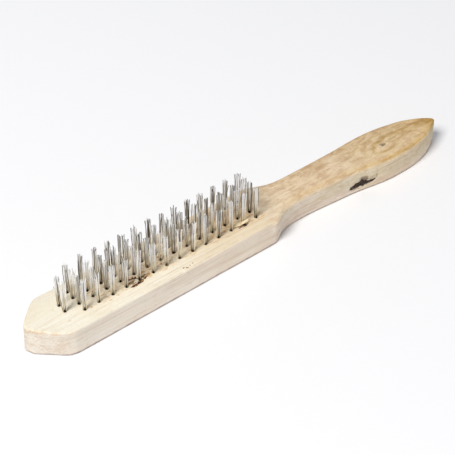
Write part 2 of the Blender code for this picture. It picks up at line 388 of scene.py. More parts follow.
def build_board():
    line = OUTLINE
    n = len(line)
    inn = inward(line)
    s = line[:, 0] - X0
    r = corner_radius(s)
    r = np.minimum(r, 1.7)
    r = r + (1.9 - r) * smooth(14.0, 7.0, s) * smooth(-1.5, -5.0, line[:, 1])
    r_top = corner_radius(s, 1.15)
    verts, normals, kind, faces = [], [], [], []
    corner = 5
    wall = 20
    rings = []
    for k in range(corner + 1):  # bottom corner, from the flat back to the wall
        a = math.pi / 2 * k / corner
        inset, z = r * (1 - math.sin(a)), r * (1 - math.cos(a))
        rings.append((inset, z, math.sin(a), -math.cos(a)))
    for k in range(1, wall):
        rings.append((r * 0, r + (THICK - r - r_top) * k / wall, 1.0, 0.0))
    for k in range(corner, -1, -1):
        a = math.pi / 2 * k / corner
        inset, z = r_top * (1 - math.sin(a)), THICK - r_top * (1 - math.cos(a))
        rings.append((inset, z, math.sin(a), math.cos(a)))
    count = 0
    for inset, z, out_w, up_w in rings:
        inset, z = np.broadcast_to(inset, n), np.broadcast_to(z, n)
        pos = np.stack([line[:, 0] + inn[:, 0] * inset, line[:, 1] + inn[:, 1] * inset, z], 1)
        nor = np.stack([-inn[:, 0] * out_w, -inn[:, 1] * out_w, np.full(n, up_w)], 1)
        verts.append(pos)
        normals.append(nor)
        kind.append(np.full(n, 0))
        count += n
    m = len(rings)
    i = np.arange(n)
    j = (i + 1) % n
    for k in range(m - 1):
        a, b = k * n, (k + 1) * n
        faces.append(np.stack([a + i, a + j, b + j, b + i], 1))
    quads = np.concatenate(faces)
    tris = []
    # top cap
    top_ring = verts[-1][:, :2]
    pts, t, first = cap(top_ring, HOLES, 0.66)
    new = pts[n:]
    top_base = count
    verts.append(np.column_stack([new, np.full(len(new), THICK)]))
    normals.append(np.tile([0, 0, 1.0], (len(new), 1)))
    kind.append(np.full(len(new), 1))
    remap = np.concatenate([np.arange(n) + (m - 1) * n, np.arange(len(new)) + top_base])
    tris.append(remap[t])
    count += len(new)
    # hole walls and floors
    hole_quads = []
    depths = (0.35, 1.0, 2.2, 4.5, HOLE_DEPTH)
    for f, (hx, hy) in zip(first, HOLES):
        rim = remap[f : f + HOLE_N]
        previous = rim
        base_xy = pts[f : f + HOLE_N]
        for d in depths:
            shrink = 1 - 0.03 * min(d, 1)
            xy = np.array([hx, hy]) + (base_xy - [hx, hy]) * shrink
            verts.append(np.column_stack([xy, np.full(HOLE_N, THICK - d)]))
            c = base_xy - [hx, hy]
            c = c / np.hypot(*c.T)[:, None]
            normals.append(np.column_stack([-c, np.zeros(HOLE_N)]))
            kind.append(np.full(HOLE_N, 2))
            current = np.arange(HOLE_N) + count
            count += HOLE_N
            q = np.arange(HOLE_N)
            q2 = (q + 1) % HOLE_N
            # facing into the hole
            hole_quads.append(np.stack([previous[q], previous[q2], current[q2], current[q]], 1)[:, ::-1])
            previous = current
        verts.append(np.array([[hx, hy, THICK - HOLE_DEPTH - 0.8]]))
        normals.append(np.array([[0, 0, 1.0]]))
        kind.append(np.array([2]))
        q = np.arange(HOLE_N)
        tris.append(np.stack([previous[q], previous[(q + 1) % HOLE_N], np.full(HOLE_N, count)], 1))
        count += 1
    # bottom cap
    low_ring = verts[0][:, :2]
    pts_b, t_b, _ = cap(low_ring, np.zeros((0, 2)), 1.7)
    new = pts_b[n:]
    verts.append(np.column_stack([new, np.zeros(len(new))]))
    normals.append(np.tile([0, 0, -1.0], (len(new), 1)))
    kind.append(np.full(len(new), 3))
    remap_b = np.concatenate([np.arange(n), np.arange(len(new)) + count])
    tris.append(remap_b[t_b][:, ::-1])
    count += len(new)

    P = np.concatenate(verts)
    N = np.concatenate(normals)
    K = np.concatenate(kind)
    quads = np.concatenate([quads, *hole_quads])
    tris = np.concatenate(tris)

    x, y, z = P.T
    sx = x - X0
    up = np.clip(N[:, 2], 0, 1)
    side = 1 - np.abs(N[:, 2])
    near, far = edges_at(x)

    # --- masks
    hd = np.full(len(P), 99.0)
    for hx, hy in HOLES:
        hd = np.minimum(hd, np.hypot(x - hx, y - hy))
    # painted shade: the holes' walls, darker further down, and a dark ring round each mouth on the top
    hole_shade = np.where(K == 2, 0.35 + 0.65 * smooth(THICK + 0.1, THICK - 0.7, z), 0.0)
    hole_shade = np.maximum(hole_shade, 0.45 * smooth(HOLE_R + 0.45, HOLE_R, hd) * (K == 1) * (0.6 + 0.6 * noise(x * 1.1, y * 1.1, 0, 16)))
    handle = smooth(146, 172, sx + 7 * noise(x / 9, y / 5, z / 5, 21))
    inside_x = smooth(24, 44, sx) * smooth(160, 149, sx)
    inside_y = smooth(-10.2, -8.3, y + 1.1 * noise(x / 5, y / 2, 0, 31)) * smooth(13.6, 11.6, y + 0.8 * noise(x / 6, y / 2, 0, 32))
    torn = inside_x * inside_y * up * (0.75 + 0.45 * noise(x / 4, y / 2, 0, 34))
    torn = np.clip(torn * (0.62 + 0.38 * smooth(20, 60, sx)), 0, 1)
    crack = np.zeros(len(P))
    for g in GROOVES:
        crack = np.maximum(crack, groove_mask(x, y, g, 0.5) * up)
    scratch = np.zeros(len(P))
    for g in SCRATCHES:
        scratch = np.maximum(scratch, groove_mask(x, y, g) * up)
    # mask of the splinter's hollow: its dent, and its painted shadow
    split = groove_mask(x, y, SPLIT, 0.2) * up
    pocket = pocket_mask(x, y, z) * smooth(0.15, 0.5, side)
    stain = bark_stain(x, y, z) * smooth(0.15, 0.5, side)
    knot = smooth(1.15, 0.35, knot_distance(x, y) + 0.45 * noise(x * 0.9, y * 1.2, 0, 55)) * up * (sx > 200)
    figure = np.clip(1.35 * figure_mask(x, y), 0, 1) * up
    # golden, handled edges: along the near top edge of the handle and round its tip
    nz = np.clip(N[:, 2], -1, 1)
    edge_near = np.exp(-(((nz - 0.80) / 0.17) ** 2)) * (z > THICK / 2) * (y < (near + far) / 2) * (K == 0)
    edge_near = np.maximum(edge_near, 0.30 * np.exp(-((np.maximum(y - near - 3.2, 0) / 1.4) ** 2)) * (nz > 0.97) * (K < 2))
    edge_far = np.exp(-(((far - y - 1.4) / 1.8) ** 2)) * smooth(THICK - 5.0, THICK - 2.2, z)
    gold = edge_near * smooth(164, 178, sx) * (0.50 + 0.50 * smooth(205, 255, sx)) * (0.98 + 0.12 * noise(x / 15, y / 6, 0, 61))
    gold = np.maximum(gold, 0.30 * edge_far * smooth(170, 200, sx))
    gold = gold + 0.50 * smooth(262, 290, sx) * smooth(THICK - 6.0, THICK - 0.5, z) * (0.60 + 0.4 * noise(x / 5, y / 4, 0, 62))
    gold = np.clip(gold, 0, 1)
    burnt = smooth(284, 295.5, sx) * smooth(THICK - 8.0, THICK - 1.5, z)
    # darker, handled grey-brown: the far half of the handle's top
    worn = handle * up * smooth(0.1, 0.95, (y - near) / np.maximum(far - near, 0.1) + 0.35 * fbm(x / 13, y / 6, 0, 3, 63))
    worn = worn * smooth(292, 262, sx)
    # grey-green weathering on the wall of the handle, under its top edge
    weather = handle * smooth(0.3, 0.9, side + 0.25) * smooth(THICK * 0.02, THICK * 0.60, z + 3.0 * noise(x / 9, y / 7, z / 4, 71))
    weather = weather * smooth(0.75, 0.35, nz)
    weather = weather * (0.50 + 0.80 * smooth(182, 206, sx) - 0.30 * smooth(222, 244, sx))
    weather = np.clip(weather * (0.80 + 0.6 * fbm(x / 8, y / 8, z / 3, 3, 72)), 0, 1)
    # end grain where the wall cuts across the grain
    endgrain = np.clip(np.abs(N[:, 0]) * 1.35 - 0.35, 0, 1) * side
    # warm line on the nose's top edge
    nose_edge = smooth(26, 14, sx) * np.exp(-(((z - THICK + 0.9) / 0.8) ** 2)) * (K == 0)
    nose_edge = np.clip(nose_edge * (0.55 + 0.6 * noise(x / 3.0, y / 3.0, 0, 73)), 0, 1)
    nose_edge = np.clip(nose_edge * (0.55 + 0.45 * smooth(16, 6, sx)), 0, 1)

    # painted contact shadow: darker along the lower edge where it meets what it lies on
    contact_shadow = smooth(1.15, 0.25, z + 0.25 * noise(x / 3, y / 3, 0, 74)) * (K == 0) * smooth(170, 150, sx)

    # the nose is sawn at a slant: its lower edge stands out past the upper one
    lean_out = smooth(-12.0, -1.5, y) * smooth(11.0, 4.0, y) * smooth(15.0, 5.0, sx)
    slant = 2.3 * lean_out * (0.40 + 0.60 * smooth(0.4, 4.5, P[:, 0] - X0)) * np.clip(1 - z / THICK, 0, 1) ** 0.8

    # the near shoulder stands out a little towards its top; near its top edge the wall and its weathering take the
    # top's colour, as on an edge dubbed over
    shoulder = smooth(154, 159, sx) * smooth(190, 172, sx) * smooth(-6.0, -9.5, y)
    swell = 1.15 * shoulder * side * np.clip(z / THICK, 0, 1) ** 1.5 * (K == 0)
    dubbed = 1 - shoulder * smooth(THICK - 2.9, THICK - 1.7, z + 0.35 * noise(x / 3, y / 3, 0, 76))

    # --- relief, in mm along the outward normal
    d = 0.10 * fbm(x / 42, y / 16, z / 14, 2, 1)
    d += 0.030 * fbm(x / 16, y / 1.3, z / 1.3, 2, 2) * (1 - 0.4 * handle)
    d += side * 0.09 * fbm(x / 30, y / 30, z / 3.2, 2, 6)
    rough = torn * (K != 2)
    d += rough * (0.17 * fbm(x / 2.2, y / 0.6, 0, 3, 3) - 0.05)
    d += rough * 0.20 * smooth(0.25, 0.8, noise(x / 3.0, y / 0.9, 0, 4))
    d -= rough * 0.26 * smooth(0.35, 0.85, noise(x / 3.6, y / 0.75, 0, 9))
    d += 0.20 * np.exp(-(((hd - HOLE_R - 0.30) / 0.28) ** 2)) * (K == 1) * (0.3 + noise(x * 0.9, y * 0.9, 0, 33))
    d -= up * 1.1 * np.minimum(crack * 1.6, 1.0) * (0.75 + 0.35 * noise(x, y * 2, 0, 41))
    d -= up * 0.30 * np.minimum(scratch * 2.0, 1)
    d -= up * 1.4 * np.minimum(split * 1.7, 1)
    d -= side * 1.1 * np.minimum(pocket * 1.2, 1) * (0.8 + 0.5 * noise(x / 1.6, y, z / 1.2, 45))
    d -= side * 0.45 * stain * (0.8 + 0.6 * noise(x / 1.8, y, z / 1.4, 49))
    d -= up * 0.45 * knot
    d += up * 0.14 * np.exp(-(((knot_distance(x, y) - 1.7) / 0.6) ** 2)) * (sx > 200)
    d -= up * 0.05 * figure
    # small knocks along the long edges
    at_edge = (np.abs(N[:, 2]) > 0.2) & (np.abs(N[:, 2]) < 0.97) & (K == 0)
    d -= at_edge * 0.32 * smooth(0.40, 0.85, fbm(x / 4.5, y / 9, z / 9, 2, 81))
    d = np.where(K == 2, 0.05 * noise(x * 1.1, y * 1.1, z * 0.6, 14), d)
    # the flat back keeps its plane, to rest on
    d = np.where((K == 3) | (N[:, 2] < -0.99), np.minimum(-0.02 + 0.02 * noise(x / 9, y / 2, 0, 15), 0), d)
    P = P + N * d[:, None]
    P[:, 2] = np.maximum(P[:, 2], 0.0)
    P[:, 0] -= slant * ((K == 0) | (K == 3))
    P[:, :2] += N[:, :2] * swell[:, None]

    mesh = bpy.data.meshes.new("wooden_body_detail")
    nf = len(quads) + len(tris)
    loops = np.concatenate([quads.ravel(), tris.ravel()]).astype(np.int32)
    totals = np.concatenate([np.full(len(quads), 4), np.full(len(tris), 3)]).astype(np.int32)
    starts = np.concatenate([[0], np.cumsum(totals)[:-1]]).astype(np.int32)
    mesh.vertices.add(len(P))
    mesh.vertices.foreach_set("co", (P * MM).astype(np.float32).ravel())
    mesh.loops.add(len(loops))
    mesh.loops.foreach_set("vertex_index", loops)
    mesh.polygons.add(nf)
    mesh.polygons.foreach_set("loop_start", starts)
    mesh.polygons.foreach_set("loop_total", totals)
    mesh.update(calc_edges=True)
    mesh.validate()
    mesh.polygons.foreach_set("use_smooth", np.ones(nf, bool))
    attributes = {
        "ring": ring_field(x, y, z, smooth(0.35, 0.8, np.abs(N[:, 2]))),
        "hole_shade": hole_shade,
        "handle": handle,
        "torn": torn,
        "crack": np.clip(crack * 1.5, 0, 1),
        "scratch": np.clip(scratch * 1.4, 0, 1),
        "split": np.clip(split * 1.6, 0, 1),
        "bark": pocket,
        "stain": stain,
        "knot": knot,
        "figure": figure,
        "gold": gold,
        "burnt": burnt,
        "worn": worn,
        "weather": weather * dubbed,
        "endgrain": endgrain,
        "nose_edge": nose_edge,
        "nose": smooth(62, 18, sx),
        "far_end": smooth(208, 246, sx),
        "far_head": smooth(84, 132, sx) * (0.32 + 0.68 * up) * (1 - handle) + 0.42 * handle * up * smooth(176, 190, sx) * smooth(224, 205, sx),
        "contact_shadow": contact_shadow,
        "wall": smooth(0.1, 0.95, side) * (K == 0) * dubbed,
    }
    for name, value in attributes.items():
        a = mesh.attributes.new(name, "FLOAT", "POINT")
        a.data.foreach_set("value", np.asarray(value, np.float32))
    obj = bpy.data.objects.new("wooden_body_detail", mesh)
    bpy.context.scene.collection.objects.link(obj)
    return obj


# ---- node material helpers ----------------------------------------------------------------
class Tree:
    def __init__(self, name):
        self.material = bpy.data.materials.new(name)
        self.material.use_nodes = True
        self.nodes = self.material.node_tree.nodes
        self.links = self.material.node_tree.links
        self.nodes.clear()
        self.out = self.nodes.new("ShaderNodeOutputMaterial")
        self.shader = self.nodes.new("ShaderNodeBsdfPrincipled")
        self.links.new(self.shader.outputs[0], self.out.inputs[0])
        self.coords = self.nodes.new("ShaderNodeTexCoord").outputs["Object"]

    def put(self, value, socket):
        if isinstance(value, bpy.types.NodeSocket):
            self.links.new(value, socket)
        elif isinstance(value, (tuple, list)):
            socket.default_value = (*value, 1.0) if len(value) == 3 and socket.type == "RGBA" else value
        else:
            socket.default_value = value

    def attribute(self, name):
        node = self.nodes.new("ShaderNodeAttribute")
        node.attribute_name = name
        return node.outputs["Fac"]

    def scaled(self, scale, rotate=(0, 0, 0)):
        node = self.nodes.new("ShaderNodeMapping")
        self.links.new(self.coords, node.inputs["Vector"])
        node.inputs["Scale"].default_value = scale
        node.inputs["Rotation"].default_value = rotate
        return node.outputs["Vector"]

    def noise(self, vector, scale=1.0, detail=3.0, rough=0.5, distortion=0.0):
        node = self.nodes.new("ShaderNodeTexNoise")
        self.links.new(vector, node.inputs["Vector"])
        node.inputs["Scale"].default_value = scale
        node.inputs["Detail"].default_value = detail
        node.inputs["Roughness"].default_value = rough
        node.inputs["Distortion"].default_value = distortion
        return node.outputs["Fac"]

    def math(self, operation, a, b=0.0, c=None, clamp=False):
        node = self.nodes.new("ShaderNodeMath")
        node.operation = operation
        node.use_clamp = clamp
        self.put(a, node.inputs[0])
        self.put(b, node.inputs[1])
        if c is not None:
            self.put(c, node.inputs[2])
        return node.outputs[0]

    def remap(self, value, a, b, c=0.0, d=1.0, smooth=True):
        node = self.nodes.new("ShaderNodeMapRange")
        node.interpolation_type = "SMOOTHSTEP" if smooth else "LINEAR"
        self.put(value, node.inputs["Value"])
        node.inputs["From Min"].default_value = a
        node.inputs["From Max"].default_value = b
        node.inputs["To Min"].default_value = c
        node.inputs["To Max"].default_value = d
        return node.outputs["Result"]

    def mix(self, factor, a, b, blend="MIX"):
        node = self.nodes.new("ShaderNodeMix")
        node.data_type = "RGBA"
        node.blend_type = blend
        node.clamp_factor = True
        self.put(factor, node.inputs["Factor"])
        self.put(a, node.inputs["A"])
        self.put(b, node.inputs["B"])
        return next(o for o in node.outputs if o.type == "RGBA")

    def bump(self, height, strength, distance, normal=None):
        node = self.nodes.new("ShaderNodeBump")
        node.inputs["Strength"].default_value = strength
        node.inputs["Distance"].default_value = distance
        self.links.new(height, node.inputs["Height"])
        if normal is not None:
            self.links.new(normal, node.inputs["Normal"])
        return node.outputs["Normal"]


def lin(r, g, b):
    """A colour as seen on a screen, as the linear one that a shader takes."""
    return tuple(c / 12.92 if c <= 0.04045 else ((c + 0.055) / 1.055) ** 2.4 for c in (r, g, b))


def wood_material():
    t = Tree("bare_wood")
    ring = t.attribute("ring")
    handle = t.attribute("handle")
    wall = t.attribute("wall")
    endgrain = t.attribute("endgrain")
    # growth rings: broad soft bands, each with a thin darker line
    wander = t.noise(t.scaled((22, 150, 150)), 1.0, 4, 0.6)
    coarse = t.math("MULTIPLY_ADD", wander, 2.4, ring)
    phase = t.math("FRACT", t.math("MULTIPLY", coarse, 0.37))
    late = t.math("MULTIPLY", t.remap(phase, 0.35, 0.93), t.remap(phase, 1.0, 0.92))
    phase2 = t.math("FRACT", t.math("MULTIPLY", coarse, 1.21))
    fine = t.math("MULTIPLY", t.remap(phase2, 0.3, 0.85), t.remap(phase2, 1.0, 0.85))
    patchy = t.remap(t.noise(t.scaled((30, 120, 120)), 1.0, 3, 0.6), 0.42, 0.62)
    # long fibres along the board, and short dark flecks and pores
    fibre = t.noise(t.scaled((38, 1500, 1500)), 1.0, 4, 0.6, 0.15)
    fibre_wide = t.noise(t.scaled((16, 460, 460)), 1.0, 4, 0.62, 0.3)
    lines = t.noise(t.scaled((9, 900, 900)), 1.0, 3, 0.6, 0.2)
    pore = t.remap(t.noise(t.scaled((240, 3600, 3600)), 1.0, 2, 0.5), 0.64, 0.76)
    fleck = t.remap(t.noise(t.scaled((420, 1150, 1150)), 1.0, 2, 0.55, 0.2), 0.60, 0.72)
    blotch = t.noise(t.scaled((26, 60, 60)), 1.0, 4, 0.6, 0.4)
    mottled = t.noise(t.scaled((150, 270, 270)), 1.0, 4, 0.62, 0.8)
    speck = t.noise(t.scaled((800, 800, 800)), 1.0, 3, 0.6)

    head = t.mix(t.remap(blotch, 0.35, 0.68), lin(*HEAD_PALE), lin(*HEAD_WARM))
    grip = t.mix(t.remap(blotch, 0.35, 0.66), lin(*GRIP_PALE), lin(*GRIP_WARM))
    side_head = t.mix(t.remap(blotch, 0.35, 0.68), lin(*SIDE_PALE), lin(*SIDE_PINK))
    side_grip = t.mix(t.remap(blotch, 0.35, 0.68), lin(*GRIP_SIDE), lin(*GRIP_SIDE_PINK))
    base = t.mix(handle, head, grip)
    side = t.mix(handle, side_head, side_grip)
    colour = t.mix(wall, base, side)
    colour = t.mix(endgrain, colour, t.mix(handle, lin(*NOSE), side_grip))

    colour = t.mix(t.attribute("nose"), colour, lin(*NOSE_TONE), "MULTIPLY")
    colour = t.mix(t.attribute("far_head"), colour, lin(*FAR_TONE), "MULTIPLY")
    colour = t.mix(t.attribute("far_end"), colour, lin(*END_TONE), "MULTIPLY")
    band = t.noise(t.scaled((9, 120, 210)), 1.0, 3, 0.55, 0.3)
    colour = t.mix(t.math("MULTIPLY", wall, t.remap(band, 0.50, 0.68, 0.0, 0.40)), colour, lin(*STREAK), "MULTIPLY")
    line = lin(*LATE_WOOD)
    plain = t.remap(endgrain, 0, 1, 1, 0.15, False)
    amount = t.math("MULTIPLY", late, t.math("MULTIPLY", patchy, t.remap(wall, 0, 1, 0.22, 0.12, False)))
    colour = t.mix(t.math("MULTIPLY", amount, plain), colour, line, "MULTIPLY")
    colour = t.mix(t.math("MULTIPLY", fine, t.math("MULTIPLY", plain, 0.08)), colour, line, "MULTIPLY")
    wide = t.remap(fibre_wide, 0.48, 0.72)
    amount = t.math("MULTIPLY", wide, t.math("ADD", t.math("MULTIPLY", wall, 0.12), t.remap(handle, 0, 1, 0.20, 0.30, False)))
    colour = t.mix(t.math("MULTIPLY", amount, plain), colour, lin(*STREAK), "MULTIPLY")
    thin = t.remap(fibre, 0.50, 0.70)
    colour = t.mix(t.math("MULTIPLY", thin, t.math("MULTIPLY", plain, t.remap(t.attribute("nose"), 0, 1, 0.30, 0.16, False))), colour, lin(*STREAK), "MULTIPLY")
    drawn = t.math("MULTIPLY", t.remap(lines, 0.56, 0.66), t.remap(wall, 0, 1, 0.20, 0.30, False))
    drawn = t.math("MULTIPLY", drawn, t.remap(patchy, 0.1, 0.9, 0.35, 1.0))
    drawn = t.math("MULTIPLY", drawn, t.remap(t.attribute("nose"), 0, 1, 1.0, 0.30, False))
    colour = t.mix(t.math("MULTIPLY", drawn, plain), colour, lin(*DRAWN), "MULTIPLY")
    pale = t.remap(fibre, 0.47, 0.30)
    colour = t.mix(t.math("MULTIPLY", pale, 0.20), colour, (1.0, 0.99, 0.96), "SOFT_LIGHT")
    colour = t.mix(t.math("MULTIPLY", pore, 0.22), colour, lin(0.66, 0.54, 0.44), "MULTIPLY")
    amount = t.math("MULTIPLY", fleck, t.remap(handle, 0, 1, 0.16, 0.28, False))
    colour = t.mix(t.math("MULTIPLY", amount, plain), colour, lin(*FLECK), "MULTIPLY")

    # end grain: speckled rather than streaked
    amount = t.math("MULTIPLY", endgrain, t.remap(speck, 0.40, 0.66, 0.0, 0.42))
    colour = t.mix(amount, colour, lin(*ENDGRAIN), "MULTIPLY")
    scuffs = t.noise(t.scaled((170, 170, 700), (0.0, 0.0, 0.0)), 1.0, 3, 0.6, 0.6)
    colour = t.mix(t.math("MULTIPLY", endgrain, t.remap(scuffs, 0.50, 0.68, 0.0, 0.50)), colour, lin(*ENDGRAIN), "MULTIPLY")
    nose_edge = t.attribute("nose_edge")
    colour = t.mix(t.math("MULTIPLY", nose_edge, t.remap(speck, 0.35, 0.6, 0.45, 1.0)), colour, lin(*NOSE_LINE), "MULTIPLY")

    # torn and fuzzy between the tufts: orange-brown tooth marks
    torn = t.attribute("torn")
    tear = t.noise(t.scaled((300, 850, 850)), 1.0, 4, 0.65, 0.5)
    tear_wide = t.noise(t.scaled((110, 260, 260)), 1.0, 3, 0.6, 0.4)
    colour = t.mix(t.math("MULTIPLY", torn, t.remap(tear_wide, 0.36, 0.64, 0.10, 0.85)), colour, lin(*TORN), "MULTIPLY")
    amount = t.math("MULTIPLY", t.remap(torn, 0.10, 0.70), t.remap(tear, 0.52, 0.66, 0.0, 0.62))
    colour = t.mix(amount, colour, lin(*TORN_DARK), "MULTIPLY")
    marks = t.math("MULTIPLY", t.remap(torn, 0.30, 0.75), t.remap(tear, 0.60, 0.70, 0.0, 0.55))
    colour = t.mix(marks, colour, lin(0.50, 0.30, 0.17))

    # the handle: mottled, with a darker figure near its end, golden edges, grey-green walls
    mottle = t.math("MULTIPLY", t.remap(mottled, 0.42, 0.64), t.math("MULTIPLY", handle, t.remap(wall, 0, 1, 0.60, 0.20, False)))
    colour = t.mix(mottle, colour, lin(*GRIP_MOTTLE), "MULTIPLY")
    worn = t.attribute("worn")
    colour = t.mix(t.math("MULTIPLY", worn, t.remap(mottled, 0.30, 0.62, 0.35, 1.0)), colour, lin(*WORN), "MULTIPLY")
    figure = t.attribute("figure")
    colour = t.mix(t.math("MULTIPLY", figure, t.remap(mottled, 0.32, 0.6, 0.60, 1.0)), colour, lin(*FIGURE_COLOUR), "MULTIPLY")
    gold = t.attribute("gold")
    gold_n = t.noise(t.scaled((60, 420, 420)), 1.0, 4, 0.6, 0.3)
    colour = t.mix(t.math("MULTIPLY", gold, t.remap(gold_n, 0.30, 0.60, 0.70, 1.0)), colour, lin(*GOLD), "MULTIPLY")
    colour = t.mix(t.attribute("burnt"), colour, lin(*BURNT), "MULTIPLY")
    weather = t.attribute("weather")
    # noise for the grey-green weathering and for the strength of the painted contact shadow
    grime_and_shade_noise = t.noise(t.scaled((260, 520, 520)), 1.0, 4, 0.65)
    colour = t.mix(t.math("MULTIPLY", weather, t.remap(grime_and_shade_noise, 0.34, 0.66, 0.35, 0.75)), colour, lin(*WEATHER), "MULTIPLY")

    # painted contact shadow along the head's lower edge
    colour = t.mix(t.math("MULTIPLY", t.attribute("contact_shadow"), t.remap(grime_and_shade_noise, 0.3, 0.6, 0.6, 1.0)), colour, lin(*CONTACT_SHADOW_COLOUR), "MULTIPLY")

    # knot, bark pocket, cracks, and the painted shadow in the splinter's hollow and painted shade in the holes
    bark_n = t.noise(t.scaled((520, 900, 900)), 1.0, 4, 0.65, 0.6)
    knot = t.attribute("knot")
    colour = t.mix(t.math("MULTIPLY", knot, t.remap(bark_n, 0.3, 0.6, 0.65, 1.0)), colour, lin(*KNOT_COLOUR))
    stain = t.attribute("stain")
    colour = t.mix(t.math("MULTIPLY", stain, t.remap(bark_n, 0.34, 0.60, 0.62, 0.95)), colour, lin(*BARK_PALE))
    bark = t.attribute("bark")
    bark_colour = t.mix(t.remap(bark_n, 0.47, 0.64), lin(*BARK_DARK), lin(*BARK_RED))
    edge = t.remap(t.math("ADD", bark, t.math("MULTIPLY", bark_n, 0.80)), 0.42, 1.00)
    colour = t.mix(edge, colour, bark_colour)
    crack = t.attribute("crack")
    crack_colour = t.mix(t.remap(bark_n, 0.40, 0.62), lin(0.20, 0.10, 0.055), lin(0.46, 0.27, 0.16))
    colour = t.mix(t.remap(t.math("ADD", crack, t.math("MULTIPLY", bark_n, 0.2)), 0.22, 0.60), colour, crack_colour)
    colour = t.mix(t.remap(t.attribute("scratch"), 0.1, 0.6), colour, lin(0.60, 0.43, 0.29))
    # painted shadow under the lifted splinter, near black
    split = t.attribute("split")
    colour = t.mix(t.remap(split, 0.15, 0.75), colour, lin(0.12, 0.08, 0.05))
    # painted shade inside the holes and round their mouths, near black
    hole_shade = t.attribute("hole_shade")
    colour = t.mix(t.remap(hole_shade, 0.10, 0.80), colour, lin(0.07, 0.042, 0.03))
    t.put(colour, t.shader.inputs["Base Color"])

    rough = t.remap(fibre, 0.3, 0.7, 0.62, 0.80, False)
    rough = t.math("SUBTRACT", rough, t.math("MULTIPLY", handle, t.remap(blotch, 0.3, 0.7, 0.06, 0.18)))
    t.put(rough, t.shader.inputs["Roughness"])
    t.shader.inputs["Specular IOR Level"].default_value = 0.35

    relief = t.math("MULTIPLY_ADD", fibre_wide, -0.5, fibre)
    relief = t.math("MULTIPLY_ADD", pore, -0.7, relief)
    relief = t.math("MULTIPLY_ADD", t.remap(lines, 0.56, 0.66), -0.4, relief)
    n1 = t.bump(relief, 0.55, 0.00016)
    n2 = t.bump(t.math("MULTIPLY", torn, tear), 0.8, 0.0007, n1)
    n3 = t.bump(t.math("MULTIPLY", weather, grime_and_shade_noise), 0.35, 0.0003, n2)
    n4 = t.bump(t.math("MULTIPLY", endgrain, speck), 0.4, 0.0002, n3)
    t.put(n4, t.shader.inputs["Normal"])
    return t.material


HEAD_PALE = (0.950, 0.922, 0.854)
HEAD_WARM = (0.942, 0.903, 0.818)
SIDE_PALE = (0.972, 0.936, 0.880)
SIDE_PINK = (0.950, 0.898, 0.832)
NOSE = (0.880, 0.846, 0.795)
FAR_TONE = (0.957, 0.918, 0.865)
NOSE_TONE = (0.984, 0.992, 0.998)
END_TONE = (0.968, 0.950, 0.905)
NOSE_LINE = (0.920, 0.805, 0.660)
GRIP_PALE = (0.932, 0.862, 0.752)
GRIP_WARM = (0.902, 0.820, 0.697)
GRIP_MOTTLE = (0.880, 0.820, 0.760)
GRIP_SIDE = (0.975, 0.940, 0.890)
GRIP_SIDE_PINK = (0.958, 0.905, 0.850)
LATE_WOOD = (0.860, 0.765, 0.640)
STREAK = (0.880, 0.815, 0.750)
DRAWN = (0.790, 0.700, 0.640)
FLECK = (0.760, 0.640, 0.560)
ENDGRAIN = (0.870, 0.770, 0.670)
TORN = (0.990, 0.945, 0.850)
TORN_DARK = (0.800, 0.600, 0.400)
WORN = (0.915, 0.890, 0.860)
FIGURE_COLOUR = (0.860, 0.805, 0.625)
GOLD = (0.928, 0.862, 0.660)
BURNT = (0.860, 0.800, 0.620)
WEATHER = (0.875, 0.860, 0.745)
# colour of the painted contact shadow along the head's lower edge
CONTACT_SHADOW_COLOUR = (0.62, 0.50, 0.48)
KNOT_COLOUR = (0.42, 0.36, 0.27)
BARK_DARK = (0.135, 0.105, 0.080)
BARK_RED = (0.40, 0.30, 0.23)
BARK_PALE = (0.44, 0.345, 0.275)


def fibre_material():
    t = Tree("torn_fibre")
    n = t.noise(t.scaled((500, 500, 500)), 1.0, 3, 0.6)
    tint = t.attribute("tint")
    colour = t.mix(tint, lin(0.965, 0.905, 0.77), lin(0.82, 0.60, 0.36))
    colour = t.mix(t.remap(n, 0.4, 0.65, 0.0, 0.5), colour, lin(0.85, 0.70, 0.52), "MULTIPLY")
    t.put(colour, t.shader.inputs["Base Color"])
    t.put(t.remap(n, 0.3, 0.7, 0.6, 0.85, False), t.shader.inputs["Roughness"])
    streaks = t.noise(t.scaled((200, 2600, 2600)), 1.0, 3, 0.6)
    t.put(t.bump(streaks, 0.5, 0.0001), t.shader.inputs["Normal"])
    return t.material


def steel_material():
    t = Tree("drawn_steel_wire")
    # painted light and shade: each wire's value runs from lit bright steel to shaded dark steel
    tint = t.attribute("tint")  # one value per wire
    # painted reflection of the wood, with shade, towards each wire's foot
    low = t.attribute("low")  # 1 at the foot of a wire, 0 at its tip
    # painted shade: wires and staple inside the hole are painted dark
    deep = t.attribute("deep")  # 1 inside the hole
    draw = t.noise(t.scaled((5200, 5200, 90)), 1.0, 3, 0.6)
    spots = t.noise(t.scaled((900, 900, 220)), 1.0, 4, 0.65)
    colour = t.mix(tint, lin(*STEEL_LIT), lin(*STEEL_SHADED))
    colour = t.mix(t.remap(spots, 0.52, 0.72, 0.0, 0.40), colour, lin(*STEEL_STAIN), "MULTIPLY")
    colour = t.mix(t.remap(draw, 0.55, 0.75, 0.0, 0.30), colour, lin(0.70, 0.69, 0.68), "MULTIPLY")
    colour = t.mix(t.math("MULTIPLY", low, t.remap(spots, 0.35, 0.65, 0.45, 0.9)), colour, lin(*STEEL_REFLECTED_WOOD), "MULTIPLY")
    colour = t.mix(deep, colour, lin(0.17, 0.12, 0.085))
    t.put(colour, t.shader.inputs["Base Color"])
    t.put(t.remap(spots, 0.3, 0.7, 0.45, 0.75, False), t.shader.inputs["Metallic"])
    t.put(t.remap(spots, 0.3, 0.7, 0.24, 0.44, False), t.shader.inputs["Roughness"])
    t.put(t.bump(draw, 0.25, 0.00003), t.shader.inputs["Normal"])
    return t.material


